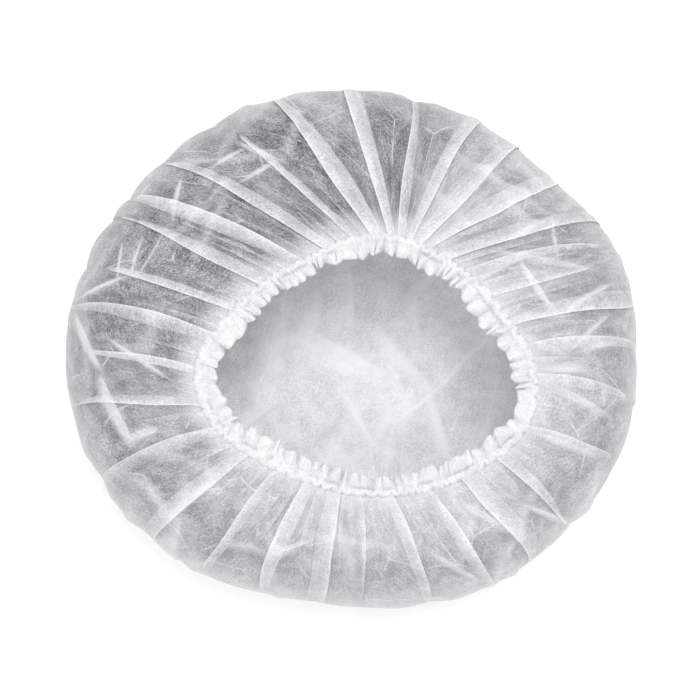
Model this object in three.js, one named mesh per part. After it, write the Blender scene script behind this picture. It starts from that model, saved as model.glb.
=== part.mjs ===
// A disposable bouffant hair cover: one round sheet of thin spunbond cloth, gathered along its edge on a
// narrow elastic, puffed open and lying on its crown with the opening up.
//
// Lengths are in millimetres, +Z is up, and the origin is where the crown rests, under the middle of the puff.
// The front of the cap is at -Y.

import * as THREE from 'three';
import { mergeVertices } from 'three/addons/utils/BufferGeometryUtils.js';

// The puffed cap, measured half-way up its folds
const puffWidth = 278;
const puffDepth = 254;
const puffHeight = 81;
const clothWall = 1.2;

// The elastic, a flat band pulled into a rounded triangle: where its loop lies in plan and below the puff's top
const openingWidth = 157;
const openingDepth = 120;
const openingRight = 7;
const openingForward = 15;
const elasticDrop = 5;
const elasticRise = 2.5;
const elasticWidth = 2.4;
const elasticThickness = 1.4;

// The hem, the cloth folded double inside the elastic's line, which ruffles towards the opening
const hemWidth = 9.6;
const hemThickness = 2;
const hemRise = 1.2;
const ruffleCount = 72;
const ruffleHeight = 2.3;
const ruffleScallop = 0.9;

// Clearance between the pieces, how high a pleat stands and how deep a crease cuts for the width between two
// folds, and how high the small gathers beside the elastic stand
const seatGap = 0.3;
const pleatDepth = 0.38;
const creaseDepth = 0.11;
const gatherHeight = 1.3;

// How finely the cloth is divided
const columnsPerFold = 4;
const columnsPerRuffle = 4;

// The outline of the puff from above, as shares of its longest reach from the middle
const OUTLINE = [
  { deg: 0, reach: 0.998 },
  { deg: 20, reach: 1.003 },
  { deg: 40, reach: 0.937 },
  { deg: 60, reach: 0.933 },
  { deg: 80, reach: 0.934 },
  { deg: 100, reach: 0.941 },
  { deg: 120, reach: 0.954 },
  { deg: 140, reach: 0.959 },
  { deg: 160, reach: 0.99 },
  { deg: 180, reach: 1.008 },
  { deg: 200, reach: 0.995 },
  { deg: 220, reach: 0.965 },
  { deg: 240, reach: 0.921 },
  { deg: 260, reach: 0.883 },
  { deg: 280, reach: 0.905 },
  { deg: 300, reach: 0.945 },
  { deg: 320, reach: 0.97 },
  { deg: 340, reach: 1.003 },
];

// The elastic's loop from above, as shares of its longest reach, with the hem's width as a share of hemWidth
const OPENING = [
  { deg: 0, reach: 0.945, hem: 0.86 },
  { deg: 20, reach: 0.842, hem: 0.86 },
  { deg: 40, reach: 0.8, hem: 0.9 },
  { deg: 60, reach: 0.782, hem: 0.94 },
  { deg: 80, reach: 0.794, hem: 0.9 },
  { deg: 100, reach: 0.77, hem: 0.9 },
  { deg: 120, reach: 0.745, hem: 0.94 },
  { deg: 140, reach: 0.794, hem: 0.98 },
  { deg: 160, reach: 0.873, hem: 1.02 },
  { deg: 180, reach: 1.0, hem: 1.1 },
  { deg: 200, reach: 0.964, hem: 1.06 },
  { deg: 220, reach: 0.836, hem: 1.04 },
  { deg: 240, reach: 0.764, hem: 1.08 },
  { deg: 260, reach: 0.749, hem: 1.14 },
  { deg: 280, reach: 0.761, hem: 1.12 },
  { deg: 300, reach: 0.806, hem: 1.06 },
  { deg: 320, reach: 0.879, hem: 1.0 },
  { deg: 340, reach: 0.97, hem: 0.9 },
];

// The folds that run out from the gathers: where each leaves the elastic and where it meets the outline, in
// degrees, its depth as a share of pleatDepth and creaseDepth, and how far along the cloth its crest reaches
const FOLDS = [
  { rim: -4, outer: -9, depth: 0.55, reach: 0.28 },
  { rim: 8, outer: 2, depth: 0.8, reach: 0.32 },
  { rim: 20, outer: 11, depth: 0.95, reach: 0.36 },
  { rim: 36, outer: 20, depth: 0.5, reach: 0.26 },
  { rim: 50, outer: 30, depth: 1.0, reach: 0.38 },
  { rim: 60, outer: 43, depth: 0.8, reach: 0.34 },
  { rim: 68, outer: 56, depth: 1.0, reach: 0.4 },
  { rim: 74.5, outer: 69, depth: 0.75, reach: 0.34 },
  { rim: 80.5, outer: 81, depth: 0.95, reach: 0.32 },
  { rim: 86.5, outer: 94, depth: 1.0, reach: 0.4 },
  { rim: 93.5, outer: 108, depth: 0.9, reach: 0.36 },
  { rim: 103, outer: 122, depth: 0.6, reach: 0.28 },
  { rim: 115, outer: 135, depth: 0.9, reach: 0.36 },
  { rim: 130, outer: 147, depth: 1.0, reach: 0.32 },
  { rim: 146, outer: 158, depth: 0.65, reach: 0.28 },
  { rim: 160, outer: 168, depth: 1.0, reach: 0.34 },
  { rim: 174, outer: 178, depth: 0.5, reach: 0.26 },
  { rim: 187, outer: 189, depth: 0.75, reach: 0.3 },
  { rim: 200, outer: 203, depth: 0.6, reach: 0.32 },
  { rim: 213, outer: 218, depth: 1.0, reach: 0.38 },
  { rim: 226, outer: 233, depth: 0.65, reach: 0.3 },
  { rim: 239, outer: 247, depth: 0.95, reach: 0.4 },
  { rim: 251, outer: 260, depth: 0.6, reach: 0.28 },
  { rim: 262, outer: 272, depth: 0.9, reach: 0.36 },
  { rim: 273, outer: 283, depth: 0.55, reach: 0.28 },
  { rim: 285, outer: 294, depth: 0.95, reach: 0.4 },
  { rim: 298, outer: 304, depth: 0.7, reach: 0.32 },
  { rim: 311, outer: 314, depth: 0.95, reach: 0.4 },
  { rim: 323, outer: 324, depth: 0.75, reach: 0.34 },
  { rim: 335, outer: 335, depth: 1.0, reach: 0.36 },
  { rim: 346, outer: 345, depth: 0.6, reach: 0.28 },
];

// The cloth's run from the elastic to the middle of the crown: out is the share of the way from the elastic to
// the outline, back the share of the way back to the middle, and height a share of puffHeight
const SECTIONS = [
  { out: 0, back: 0, height: 0.94 },
  { out: 0.05, back: 0, height: 0.958 },
  { out: 0.13, back: 0, height: 0.983 },
  { out: 0.25, back: 0, height: 1.0 },
  { out: 0.4, back: 0, height: 0.992 },
  { out: 0.56, back: 0, height: 0.95 },
  { out: 0.72, back: 0, height: 0.868 },
  { out: 0.86, back: 0, height: 0.735 },
  { out: 0.96, back: 0, height: 0.57 },
  { out: 1, back: 0, height: 0.4 },
  { out: 1, back: 0.03, height: 0.235 },
  { out: 1, back: 0.1, height: 0.1 },
  { out: 1, back: 0.21, height: 0.022 },
  { out: 1, back: 0.34, height: 0 },
  { out: 1, back: 0.66, height: 0 },
  { out: 1, back: 1, height: 0 },
];

// Where along the cloth, as shares of its run: a gather dies out, a crest stands full and begins to fade, and
// the creases that part the puffs begin, are full, begin to fade and end
const gatherEnd = 0.2;
const crestFull = 0.1;
const crestFade = 0.12;
const creaseBegin = 0.2;
const creaseFull = 0.36;
const creaseFade = 0.44;
const creaseEnd = 0.6;

const radians = THREE.MathUtils.degToRad;
const { lerp, smoothstep } = THREE.MathUtils;

// A value of a table of even angles, run through smoothly and closed on itself.
function around(table, column, deg) {
  const step = 360 / table.length;
  const turn = THREE.MathUtils.euclideanModulo(deg / step, table.length);
  const at = Math.floor(turn);
  const share = turn - at;
  const [a, b, c, d] = [-1, 0, 1, 2].map((next) => table[(at + next + table.length) % table.length][column]);
  const bend = 2 * a - 5 * b + 4 * c - d;
  const twist = 3 * (b - c) + d - a;
  return b + 0.5 * share * (c - a + share * (bend + share * twist));
}

// A closed loop in plan whose shape is a table of reaches, fitted to its width and depth about its centre.
function loopOf(table, width, depth, centre) {
  const raw = (deg) =>
    new THREE.Vector2(Math.cos(radians(deg)), Math.sin(radians(deg))).multiplyScalar(around(table, 'reach', deg));
  const box = new THREE.Box2();
  for (let deg = 0; deg < 360; deg++) box.expandByPoint(raw(deg));
  const size = box.getSize(new THREE.Vector2());
  const middle = box.getCenter(new THREE.Vector2());
  const fit = new THREE.Vector2(width / size.x, depth / size.y);
  return (deg) => raw(deg).sub(middle).multiply(fit).add(centre);
}

const outline = loopOf(OUTLINE, puffWidth, puffDepth, new THREE.Vector2());
const openingCentre = new THREE.Vector2(openingRight, -openingForward);
const opening = loopOf(OPENING, openingWidth, openingDepth, openingCentre);

// The plan direction that points out of the elastic's loop, and the height of its line: the back stands highest.
function outward(deg) {
  const along = opening(deg + 1).sub(opening(deg - 1)).normalize();
  return new THREE.Vector2(along.y, -along.x);
}

function elasticLevel(deg) {
  return puffHeight - elasticDrop + elasticRise * Math.sin(radians(deg));
}

// The angle of a column of cloth at the elastic or at the outline: folds are whole numbers, and the angle runs
// evenly from one fold to the next.
function angleAt(fold, end) {
  const whole = Math.floor(fold);
  const turns = Math.floor(whole / FOLDS.length);
  const from = FOLDS[THREE.MathUtils.euclideanModulo(whole, FOLDS.length)][end];
  const next = whole + 1;
  const nextTurns = Math.floor(next / FOLDS.length);
  const to = FOLDS[THREE.MathUtils.euclideanModulo(next, FOLDS.length)][end];
  return lerp(from + 360 * turns, to + 360 * nextTurns, fold - whole);
}

// The cloth's middle form without its pleats.
function puffPoint(fold, section) {
  const rimDeg = angleAt(fold, 'rim');
  const seat = elasticWidth / 2 + seatGap;
  const rim = opening(rimDeg).addScaledVector(outward(rimDeg), seat);
  const edge = outline(angleAt(fold, 'outer'));
  const plan = rim.lerp(edge, section.out).multiplyScalar(1 - section.back);
  const rimLevel = elasticLevel(rimDeg);
  const atElastic = puffHeight * SECTIONS[0].height;
  const level = puffHeight * section.height + (rimLevel - atElastic) * (1 - section.out);
  return new THREE.Vector3(plan.x, plan.y, level);
}

// How far along the cloth each section lies, as shares of its run from the elastic to the crown's middle.
function runShares() {
  const points = SECTIONS.map((section) => puffPoint(0, section));
  const lengths = points.map((point, row) => (row ? point.distanceTo(points[row - 1]) : 0));
  const total = lengths.reduce((sum, length) => sum + length, 0);
  let run = 0;
  return lengths.map((length) => (run += length) / total);
}

// The height of the folds over the middle form: near the elastic a sharp crest stands along each fold, and
// further out the fold turns into a crease between two round puffs.
function foldHeight(fold, section, run) {
  const whole = Math.floor(fold);
  const share = fold - whole;
  const width = puffPoint(whole, section).distanceTo(puffPoint(whole + 1, section));
  const heights = [whole, whole + 1].map((at) => {
    const { depth, reach } = FOLDS[THREE.MathUtils.euclideanModulo(at, FOLDS.length)];
    const crest = smoothstep(run, 0, crestFull) * (1 - smoothstep(run, crestFade, reach));
    const crease = smoothstep(run, creaseBegin, creaseFull) * (1 - smoothstep(run, creaseFade, creaseEnd));
    return depth * (pleatDepth * crest - creaseDepth * crease);
  });
  const across = 2 / Math.PI - Math.sin(Math.PI * share);
  return width * lerp(heights[0], heights[1], share) * across;
}

// The crown: inside from the elastic to the middle of the crown, then back up outside at one wall's distance.
function crownShell() {
  const columns = FOLDS.length * columnsPerFold;
  const runs = runShares();
  const rows = SECTIONS.length;
  const middle = Array.from({ length: columns }, (_, column) =>
    SECTIONS.map((section) => puffPoint(column / columnsPerFold, section)),
  );
  const facing = surfaceNormals(middle);
  const outside = middle.map((strip, column) =>
    strip.map((point, row) => {
      const gather = gatherHeight * smoothstep(runs[row], 0, gatherEnd / 4)
        * (1 - smoothstep(runs[row], gatherEnd / 4, gatherEnd));
      const side = column % 2 ? -1 : 1;
      const lift = foldHeight(column / columnsPerFold, SECTIONS[row], runs[row]) + gather * side;
      const lifted = point.clone().addScaledVector(facing[column][row], lift);
      return lifted.setZ(Math.max(lifted.z, 0));
    }),
  );
  const thickness = surfaceNormals(outside);
  const place = (column, row) => {
    if (row >= rows) return outside[column][2 * rows - 1 - row];
    return outside[column][row].clone().addScaledVector(thickness[column][row], -clothWall);
  };
  return loft(columns, 2 * rows, place);
}

// The outward direction at each point of a closed strip of rows, taken from the neighbours. At the crown's
// middle, where all columns meet, it points straight down.
function surfaceNormals(strips) {
  const count = strips.length;
  return strips.map((strip, column) =>
    strip.map((point, row) => {
      if (row === strip.length - 1) return new THREE.Vector3(0, 0, -1);
      const before = strips[(column + count - 1) % count][row];
      const after = strips[(column + 1) % count][row];
      const inner = strip[Math.max(row - 1, 0)];
      const outer = strip[row + 1];
      const across = after.clone().sub(before);
      const along = outer.clone().sub(inner);
      return along.cross(across).normalize();
    }),
  );
}

// A closed skin of columns and rows: the lathe gives its faces, and place says where each corner is.
function loft(columns, rows, place) {
  const profile = Array.from({ length: rows + 1 }, (_, row) => new THREE.Vector2(1, row));
  const lathe = new THREE.LatheGeometry(profile, columns);
  const position = lathe.getAttribute('position');
  for (let column = 0; column <= columns; column++)
    for (let row = 0; row < profile.length; row++) {
      const { x, y, z } = place(column % columns, row % rows);
      position.setXYZ(column * profile.length + row, x, y, z);
    }
  lathe.deleteAttribute('normal');
  lathe.deleteAttribute('uv');
  const skin = mergeVertices(lathe);
  skin.computeVertexNormals();
  return skin;
}

// A point beside the elastic's line: across it in plan, outwards, and above it.
function besideElastic(deg, across, above) {
  const plan = opening(deg).addScaledVector(outward(deg), across);
  return new THREE.Vector3(plan.x, plan.y, elasticLevel(deg) + above);
}

// The angles of evenly spaced stations along the elastic's line.
function evenStations(count) {
  const samples = 720;
  const points = Array.from({ length: samples + 1 }, (_, at) => opening((360 * at) / samples));
  const lengths = [0];
  for (let at = 1; at <= samples; at++) lengths.push(lengths[at - 1] + points[at].distanceTo(points[at - 1]));
  const whole = lengths[samples];
  return Array.from({ length: count }, (_, station) => {
    const want = (whole * station) / count;
    const at = lengths.findIndex((length) => length > want) - 1;
    const share = (want - lengths[at]) / (lengths[at + 1] - lengths[at]);
    return (360 * (at + share)) / samples;
  });
}

// The elastic: a flat band whose sides face the cloth's edge and the hem.
function elasticBand() {
  const half = new THREE.Vector2(elasticWidth / 2, elasticThickness / 2);
  const corners = [[1, -1], [1, 1], [-1, 1], [-1, -1]];
  const stations = evenStations(FOLDS.length * 3);
  const place = (column, row) => besideElastic(stations[column], half.x * corners[row][0], half.y * corners[row][1]);
  return loft(stations.length, corners.length, place);
}

// The hem: its section runs from the elastic towards the opening, double cloth with a rounded free edge, and
// its ruffles open towards that edge.
function hemRuffle() {
  const section = [
    { inward: 0, side: -0.5 },
    { inward: 0, side: 0.5 },
    { inward: 0.55, side: 0.5 },
    { inward: 1, side: 0 },
    { inward: 0.55, side: -0.5 },
  ];
  const stations = evenStations(ruffleCount * columnsPerRuffle);
  const place = (column, row) => {
    const { inward, side } = section[row];
    const deg = stations[column];
    const wave = Math.sin((2 * Math.PI * column) / columnsPerRuffle);
    const width = hemWidth * around(OPENING, 'hem', deg) + ruffleScallop * wave;
    const across = -(elasticWidth / 2 + seatGap + inward * width);
    const above = hemThickness * side + inward * (hemRise + ruffleHeight * wave);
    return besideElastic(deg, across, above);
  };
  return loft(stations.length, section.length, place);
}

function piece(name, geometry, colour, roughness) {
  const material = new THREE.MeshStandardMaterial({ color: colour, roughness, metalness: 0 });
  const mesh = new THREE.Mesh(geometry, material);
  mesh.name = name;
  return mesh;
}

const hairCover = new THREE.Group();
hairCover.add(
  piece('crown_shell', crownShell(), 0xdfe0e4, 0.85),
  piece('hem_ruffle', hemRuffle(), 0xf4f4f2, 0.85),
  piece('elastic_band', elasticBand(), 0xfafaf8, 0.7),
);

// The box round the cap stands on the origin.
const box = new THREE.Box3().setFromObject(hairCover);
const middle = box.getCenter(new THREE.Vector3());
for (const { geometry } of hairCover.children) geometry.translate(-middle.x, -middle.y, -box.min.z);

export default hairCover;
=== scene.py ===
# Looks for a disposable bouffant hair cover: one round sheet of white spunbond cloth, gathered on an elastic,
# puffed open and lying on its crown with the opening up. Metres, +Z up, the front of the cap towards -Y.

import math

import bmesh
import bpy
import numpy as np
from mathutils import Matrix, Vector


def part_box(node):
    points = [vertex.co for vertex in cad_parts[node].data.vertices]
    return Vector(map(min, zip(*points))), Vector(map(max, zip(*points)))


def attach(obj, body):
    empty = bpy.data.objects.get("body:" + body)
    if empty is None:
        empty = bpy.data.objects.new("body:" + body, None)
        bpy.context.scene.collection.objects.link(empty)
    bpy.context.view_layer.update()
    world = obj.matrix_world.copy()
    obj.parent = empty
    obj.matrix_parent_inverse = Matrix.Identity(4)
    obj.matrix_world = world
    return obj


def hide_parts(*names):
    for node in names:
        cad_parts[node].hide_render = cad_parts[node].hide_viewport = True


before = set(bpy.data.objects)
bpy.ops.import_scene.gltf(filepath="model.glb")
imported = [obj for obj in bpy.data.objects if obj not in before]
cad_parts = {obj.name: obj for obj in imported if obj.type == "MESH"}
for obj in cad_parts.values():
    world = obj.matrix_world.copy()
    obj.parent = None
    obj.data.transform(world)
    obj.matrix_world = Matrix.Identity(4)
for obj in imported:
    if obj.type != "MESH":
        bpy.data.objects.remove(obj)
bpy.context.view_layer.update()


# The table top: a plain white surface under the cap, wide enough to fill every view.

TABLE_TOP_REACH = 3.0
TABLE_TOP_LEVEL = -0.0002
TABLE_TOP_WHITE = (0.99, 0.99, 0.99, 1)

table_mesh = bmesh.new()
bmesh.ops.create_grid(table_mesh, x_segments=1, y_segments=1, size=TABLE_TOP_REACH)
bmesh.ops.translate(table_mesh, verts=table_mesh.verts, vec=(0, 0, TABLE_TOP_LEVEL))
table_top = bpy.data.objects.new("table_top", bpy.data.meshes.new("table_top"))
table_mesh.to_mesh(table_top.data)
table_mesh.free()
bpy.context.scene.collection.objects.link(table_top)

table_finish = bpy.data.materials.new("white_table")
table_finish.use_nodes = True
table_surface = table_finish.node_tree.nodes["Principled BSDF"]
table_surface.inputs["Base Color"].default_value = TABLE_TOP_WHITE
table_surface.inputs["Roughness"].default_value = 0.9
table_surface.inputs["Specular IOR Level"].default_value = 0.1
table_top.data.materials.append(table_finish)


# The crown: a round sheet of thin spunbond cloth, 530 mm across as cut, gathered in along its edge and puffed
# open. It is made as it is sewn: the flat disc first, then its edge is pleated on to the elastic's line, and
# the rest puffs out, turns under and lies flat on the table.

# The cloth as cut and the elastic, in metres; how far out from the elastic the crown starts, and how far its
# edge is tucked down; how far its outline stays inside the frame's; and its lowest point
CUT_WIDTH = 0.53
ELASTIC_WIDTH = 0.0024
RIM_GAP = 0.0012
RIM_TUCK = 0.0007
OUTLINE_INSET = 0.001
CLOTH_LEVEL = 0.0002

# The rows of points from the elastic to the middle, which lie closer near the elastic
CLOTH_ROWS = 104
ROW_EVENNESS = 0.4
ROW_POWER = 1.9

# The puff's outline and the elastic's loop from above: how far each reaches at even angles, in shares that
# are fitted between the corners of its CAD node
OUTLINE = [
    0.998, 1.003, 0.937, 0.933, 0.934, 0.941, 0.954, 0.959, 0.99,
    1.008, 0.995, 0.965, 0.921, 0.883, 0.905, 0.945, 0.97, 1.003,
]
OPENING = [
    0.945, 0.842, 0.8, 0.782, 0.794, 0.77, 0.745, 0.794, 0.873,
    1.0, 0.964, 0.836, 0.764, 0.749, 0.761, 0.806, 0.879, 0.97,
]

# The cloth's run from the elastic to the middle of the crown: the share of the way out to the outline, the
# share of the way back to the middle, and the share of the puff's height
SECTIONS = [
    (0, 0, 0.94),
    (0.05, 0, 0.958),
    (0.13, 0, 0.983),
    (0.25, 0, 1.0),
    (0.4, 0, 0.992),
    (0.56, 0, 0.95),
    (0.72, 0, 0.868),
    (0.86, 0, 0.735),
    (0.96, 0, 0.57),
    (1, 0, 0.4),
    (1, 0.03, 0.235),
    (1, 0.1, 0.1),
    (1, 0.21, 0.022),
    (1, 0.34, 0),
    (1, 0.66, 0),
    (1, 1, 0),
]

# How high the puff stands, and how much higher the elastic lies at the back than at its sides, in metres
PUFF_HEIGHT = 0.081
ELASTIC_RISE = 0.0025

# The long folds: where each leaves the elastic and meets the outline, in degrees; how wide its pleat lies
# near the elastic and where it ends, in metres; how far along the run it ends; the side that it is laid to;
# how high its crest stands, as a share of the fullest; and how much the cloth beyond it lies doubled
FOLDS = [
    (-3, -11, 0.0050, 0.0010, 0.27, 1, 0.6, 0.55),
    (7, 0, 0.0075, 0.0015, 0.36, 1, 0.8, 0.5),
    (18, 11, 0.0065, 0.0040, 0.40, -1, 0.95, 0.35),
    (32, 16.5, 0.0045, 0.0005, 0.20, -1, 0.5, 0.50),
    (46, 21, 0.0055, 0.0010, 0.28, 1, 0.7, 0.35),
    (58, 28, 0.0105, 0.0060, 0.52, -1, 0.95, 0.35),
    (66, 40, 0.0085, 0.0030, 0.44, -1, 0.8, 0.55),
    (70, 51, 0.0080, 0.0070, 0.52, -1, 1.0, 0.65),
    (73.5, 63, 0.0050, 0.0070, 0.52, -1, 0.75, 0.30),
    (77, 76, 0.0060, 0.0010, 0.36, 1, 0.95, 0.0),
    (80.5, 91, 0.0065, 0.0060, 0.52, 1, 1.0, 0.05),
    (86, 107, 0.0120, 0.0015, 0.37, 1, 0.9, 0.0),
    (96, 122, 0.0050, 0.0008, 0.24, 1, 0.8, 0.0),
    (108, 135, 0.0080, 0.0008, 0.34, 1, 0.9, 0.0),
    (123, 146, 0.0090, 0.0010, 0.31, -1, 1.0, 0.05),
    (140, 151, 0.0095, 0.0010, 0.30, 1, 0.95, 0.05),
    (156, 163, 0.0050, 0.0005, 0.24, 1, 0.65, 0.10),
    (169, 171, 0.0080, 0.0010, 0.34, -1, 0.9, 0.10),
    (181, 180, 0.0050, 0.0008, 0.22, -1, 0.6, 0.15),
    (192, 192, 0.0060, 0.0008, 0.33, 1, 0.8, 0.30),
    (203, 207, 0.0075, 0.0010, 0.35, -1, 0.9, 0.25),
    (215, 222, 0.0070, 0.0110, 0.52, 1, 1.0, 0.45),
    (229, 237, 0.0050, 0.0020, 0.36, -1, 0.7, 0.40),
    (243, 250, 0.0070, 0.0020, 0.42, -1, 0.95, 0.50),
    (255, 261, 0.0085, 0.0060, 0.52, 1, 0.9, 0.55),
    (265, 273, 0.0050, 0.0005, 0.30, 1, 0.7, 0.60),
    (278, 287, 0.0070, 0.0015, 0.37, 1, 0.9, 0.60),
    (294, 300, 0.0055, 0.0030, 0.48, 1, 0.85, 0.55),
    (311, 311, 0.0090, 0.0050, 0.52, -1, 1.0, 0.60),
    (325, 321, 0.0070, 0.0008, 0.32, -1, 0.85, 0.50),
    (338, 336, 0.0060, 0.0010, 0.30, 1, 0.7, 0.50),
]

# How high a crest stands and how deep a crease cuts, as shares of the width between two folds, and how high a
# pleat stands, in metres
CREST_DEPTH = 0.2
CREASE_DEPTH = 0.07
PLEAT_LIFT = 0.0016

# The short gathers between the long folds: the room of each along the elastic, in degrees; how wide it ends,
# in metres; and how high it stands, as a share of a long fold
GATHER_SPACING = 5.0
GATHER_END = 0.0005
GATHER_LIFT = 0.7

# A pleat in steps across, where the cloth turns back at plus and minus PLEAT_TURN: how high each step stands,
# and how much it lies on other cloth where the pleat is soft and where it is crisp, peaking at the turn as a
# painted highlight. The two turns are its sharp edges. The flat steps are those between two pleats.
PLEAT_TURN = 1 / 3
PLEAT_STEPS = (-1, -0.7, -0.4, -PLEAT_TURN, 0, PLEAT_TURN, 0.4, 0.7, 1)
LIFT_STEPS = (0.3, 0.7, 0.95, 1.0, 0.35, -0.3, -0.25, -0.15, 0.0)
SOFT_LAYERS = (0.1, 0.6, 0.8, 1.0, 0.7, 0.6, 0.5, 0.3, 0.0)
CRISP_LAYERS = (0.8, 0.7, 0.9, 1.0, 0.7, 0.6, 0.5, 0.3, 0.0)
TURN_STEPS = (3, 5)
FLAT_STEPS = (0.06, 0.35, 0.65, 0.94)

# The share of the room between two pleats that they may fill
PLEAT_ROOM = 0.92


def even_grid(name, rows, columns):
    """A flat sheet of even quads as a new object, with one more line of points than there are columns."""
    sheet = bmesh.new()
    bmesh.ops.create_grid(sheet, x_segments=rows - 1, y_segments=columns, size=0.5)
    piece = bpy.data.objects.new(name, bpy.data.meshes.new(name))
    sheet.to_mesh(piece.data)
    sheet.free()
    bpy.context.scene.collection.objects.link(piece)
    return piece


def grid_places(piece, rows, columns):
    """The row and the column of each point of an even grid."""
    points = points_of(piece) + 0.5
    return np.rint(points[:, 0] * (rows - 1)).astype(int), np.rint(points[:, 1] * columns).astype(int)


def map_cut(piece, places):
    """Each point's place on the flat cloth, as a UV map."""
    corners = np.zeros(len(piece.data.loops), int)
    piece.data.loops.foreach_get("vertex_index", corners)
    piece.data.uv_layers.new(name="cut").data.foreach_set("uv", places[corners].astype(np.float32).ravel())


def points_of(piece):
    points = np.zeros(len(piece.data.vertices) * 3)
    piece.data.vertices.foreach_get("co", points)
    return points.reshape(-1, 3)


def move_points(piece, points):
    piece.data.vertices.foreach_set("co", points.astype(np.float32).ravel())
    piece.data.update()


def sew_shut(piece):
    """Joins the edges that lie on each other, and turns the faces outwards."""
    cloth = bmesh.new()
    cloth.from_mesh(piece.data)
    bmesh.ops.remove_doubles(cloth, verts=cloth.verts, dist=1e-7)
    bmesh.ops.recalc_face_normals(cloth, faces=cloth.faces)
    cloth.to_mesh(piece.data)
    cloth.free()
    piece.data.polygons.foreach_set("use_smooth", [True] * len(piece.data.polygons))


def mark_points(piece, name, values):
    piece.data.attributes.new(name, "FLOAT", "POINT").data.foreach_set("value", values.astype(np.float32))


def around(row, degrees):
    """A table of even angles, run through smoothly and closed on itself."""
    table = np.asarray(row, float)
    turn = (np.asarray(degrees, float) * len(table) / 360) % len(table)
    at = np.floor(turn).astype(int)
    share = turn - at
    a, b, c, d = (table[(at + step) % len(table)] for step in (-1, 0, 1, 2))
    bend = 2 * a - 5 * b + 4 * c - d
    twist = 3 * (b - c) + d - a
    return b + 0.5 * share * (c - a + share * (bend + share * twist))


def loop_in(row, low, high):
    """A closed loop in plan, fitted between two corners: a function from degrees to points."""

    def raw(degrees):
        turn = np.radians(degrees)
        return np.stack([np.cos(turn), np.sin(turn)], -1) * around(row, degrees)[..., None]

    full = raw(np.arange(360.0))
    start = full.min(0)
    fit = (high - low) / (full.max(0) - start)
    return lambda degrees: low + (raw(degrees) - start) * fit


def smoothstep(value, start, end):
    share = np.clip((value - start) / (end - start), 0, 1)
    return share * share * (3 - 2 * share)


crown_low, crown_high = (np.array(corner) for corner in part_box("crown_shell"))
band_low, band_high = (np.array(corner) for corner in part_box("elastic_band"))
outline = loop_in(OUTLINE, crown_low[:2] + OUTLINE_INSET, crown_high[:2] - OUTLINE_INSET)
opening = loop_in(OPENING, band_low[:2] + ELASTIC_WIDTH / 2, band_high[:2] - ELASTIC_WIDTH / 2)
elastic_level = (band_low[2] + band_high[2]) / 2


def outward(degrees):
    """The plan direction out of the elastic's loop."""
    along = opening(degrees + 1) - opening(degrees - 1)
    along /= np.linalg.norm(along, axis=-1, keepdims=True)
    return np.stack([along[..., 1], -along[..., 0]], -1)


def elastic_height(degrees):
    return elastic_level + ELASTIC_RISE * np.sin(np.radians(degrees))


# Where the folds leave the elastic and meet the outline, with two more at each end to close the round
FOLD_COUNT = len(FOLDS)
fold_rim, fold_outer, _, _, fold_closes, _, fold_crest, fold_doubled = np.array(FOLDS, float).T
folds_round = np.arange(-2, FOLD_COUNT + 3)
rim_round = fold_rim[folds_round % FOLD_COUNT] + 360 * (folds_round // FOLD_COUNT)
outer_round = fold_outer[folds_round % FOLD_COUNT] + 360 * (folds_round // FOLD_COUNT)

# The meridian: a smooth curve through the sections, measured along its run
section_at = np.linspace(0, len(SECTIONS) - 1, 600)
section_low = np.minimum(section_at.astype(int), len(SECTIONS) - 2)
section_share = (section_at - section_low)[:, None]
section_rows = np.array([SECTIONS[0], *SECTIONS, SECTIONS[-1]], float)
before, first, second, after = (section_rows[section_low + step] for step in range(4))
bend = 2 * before - 5 * first + 4 * second - after
twist = 3 * (first - second) + after - before
meridian = first + 0.5 * section_share * (second - before + section_share * (bend + section_share * twist))
meridian = np.clip(meridian, 0, 1)
outline_reach = (crown_high[0] - crown_low[0]) / 2
rim_to_outline = outline_reach - (band_high[0] - band_low[0]) / 2
meridian_plan = rim_to_outline * meridian[:, 0] - outline_reach * meridian[:, 1]
meridian_steps = np.hypot(np.diff(meridian_plan), PUFF_HEIGHT * np.diff(meridian[:, 2]))
meridian_run = np.append(0, np.cumsum(meridian_steps)) / meridian_steps.sum()


def puff_point(fold, run):
    """Where a point of cloth lies on the puff without its pleats."""
    rim_degrees = np.interp(fold, folds_round, rim_round)
    outer_degrees = np.interp(fold, folds_round, outer_round)
    out, back, height = (np.interp(run, meridian_run, column) for column in meridian.T)
    rim = opening(rim_degrees) + outward(rim_degrees) * RIM_GAP
    plan = (rim + (outline(outer_degrees) - rim) * out[..., None]) * (1 - back)[..., None]
    rim_level = elastic_height(rim_degrees)
    level = PUFF_HEIGHT * height + (rim_level - PUFF_HEIGHT * SECTIONS[0][2]) * (1 - out)
    return np.concatenate([plan, level[..., None]], -1)


# The pleats: the long folds, and between them the short gathers that the elastic's spacing leaves room for
seeded = np.random.default_rng(9)
pleats = []
for index, (rim, _, wide, ends, closes, side, _, _) in enumerate(FOLDS):
    pleats.append((index, wide, ends, closes, side, 1.0))
    next_rim = rim_round[index + 3]
    gathers = max(0, round((next_rim - rim) / GATHER_SPACING) - 1)
    for gather in range(gathers):
        place = index + (gather + 1 + seeded.uniform(-0.2, 0.2)) / (gathers + 1)
        gather_wide = seeded.uniform(0.003, 0.0055)
        gather_closes = seeded.uniform(0.05, 0.2)
        gather_side = seeded.choice([-1, 1])
        pleats.append((place, gather_wide, GATHER_END, gather_closes, gather_side, GATHER_LIFT))
pleat_place, pleat_wide, pleat_ends, pleat_closes, pleat_side, pleat_height = np.array(pleats, float).T
gap_after = np.diff(np.append(pleat_place, pleat_place[0] + FOLD_COUNT))
gap_before = np.roll(gap_after, 1)
steps_per_pleat = len(PLEAT_STEPS) + len(FLAT_STEPS)
column_count = len(pleats) * steps_per_pleat
run_rows = np.linspace(0, 1, CLOTH_ROWS)
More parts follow.
